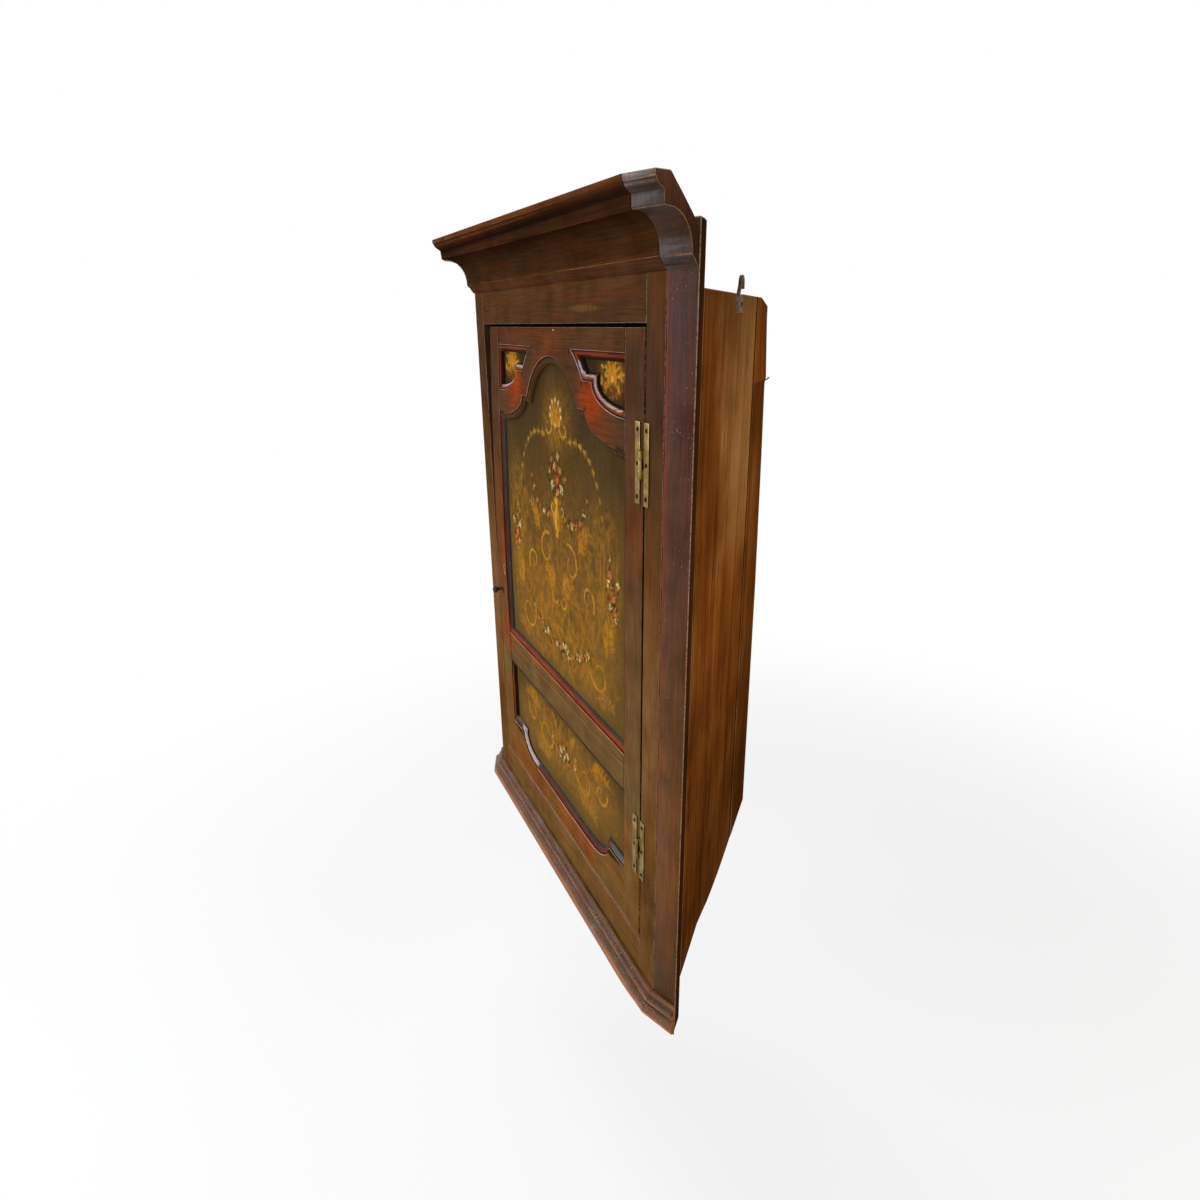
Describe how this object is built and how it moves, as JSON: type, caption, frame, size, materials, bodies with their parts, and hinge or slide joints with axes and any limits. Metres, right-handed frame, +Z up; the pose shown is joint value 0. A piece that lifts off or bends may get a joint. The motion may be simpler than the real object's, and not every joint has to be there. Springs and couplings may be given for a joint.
{
  "type": "hanging corner cupboard",
  "caption": "Wall-hung corner cupboard in painted oak: canted front, moulded cornice and base, hinged door with an arched panel, shaped shelves inside.",
  "frame": {"origin": "on the line where the two room walls meet, level with the foot of the face frame", "axes": "X along the cupboard's front to the viewer's right, +Y from the front into the corner, +Z up"},
  "size_m": [0.8346, 0.4724, 1.1325],
  "materials": {
    "painted_oak": "old brown paint, rubbed to satin, on oak",
    "painted_panel": "olive ground with painted scrolls and flowers under old varnish",
    "bare_oak": "bare aged oak boards, dark streaks and worm holes",
    "brass": "aged cast brass",
    "iron": "blackened wrought iron with some rust"
  },
  "bodies": {
    "case": {"frame_rail_top": "painted_oak", "frame_rail_bottom": "painted_oak", "frame_stile_right": "painted_oak", "cant_board_right": "painted_oak", "frame_stile_left": "painted_oak", "cant_board_left": "painted_oak", "side_board_right": "bare_oak", "rear_board_right": "bare_oak", "side_board_left": "bare_oak", "rear_board_left": "bare_oak", "corner_post": "bare_oak", "hanging_hook_right": "iron", "hook_nail_right_1": "iron", "hook_nail_right_2": "iron", "hanging_hook_left": "iron", "hook_nail_left_1": "iron", "hook_nail_left_2": "iron", "bottom_board": "bare_oak", "top_board": "bare_oak", "shelf_lower": "bare_oak", "shelf_upper": "bare_oak", "cleat_lower_right": "bare_oak", "cleat_upper_right": "bare_oak", "cleat_bottom_right": "bare_oak", "cleat_lower_left": "bare_oak", "cleat_upper_left": "bare_oak", "cleat_bottom_left": "bare_oak", "cornice_front": "painted_oak", "cornice_return_right": "painted_oak", "cornice_return_left": "painted_oak", "base_moulding_front": "painted_oak", "base_moulding_return_right": "painted_oak", "base_moulding_return_left": "painted_oak", "hinge_upper_frame_leaf": "brass", "hinge_upper_pin": "iron", "hinge_lower_frame_leaf": "brass", "hinge_lower_pin": "iron"},
    "door": {"door_panel_upper": "painted_panel", "door_panel_lower": "painted_panel", "door_spandrel_left": "painted_panel", "door_spandrel_right": "painted_panel", "door_rail_top": "painted_oak", "door_rail_lock": "painted_oak", "door_rail_bottom": "painted_oak", "door_stile_right": "painted_oak", "door_stile_left": "painted_oak", "hinge_upper_door_leaf": "brass", "hinge_lower_door_leaf": "brass", "lock_case": "iron", "escutcheon": "brass"},
    "knob": {"knob": "iron", "turn_button": "bare_oak"},
    "bolt": {"lock_bolt": "iron"}
  },
  "joints": [
    {"name": "door_hinge", "type": "hinge", "parent": "case", "child": "door", "pos_m": [0.3105, -0.41855, 0.5], "axis": [0, 0, 1], "range_deg": [0, 135]},
    {"name": "knob_turn", "type": "hinge", "parent": "door", "child": "knob", "pos_m": [-0.2905, -0.41525, 0.489], "axis": [0, 1, 0], "range_deg": [0, 90]},
    {"name": "bolt_slide", "type": "slide", "parent": "door", "child": "bolt", "axis": [-1, 0, 0], "range_m": [0, 0.014]}
  ]
}
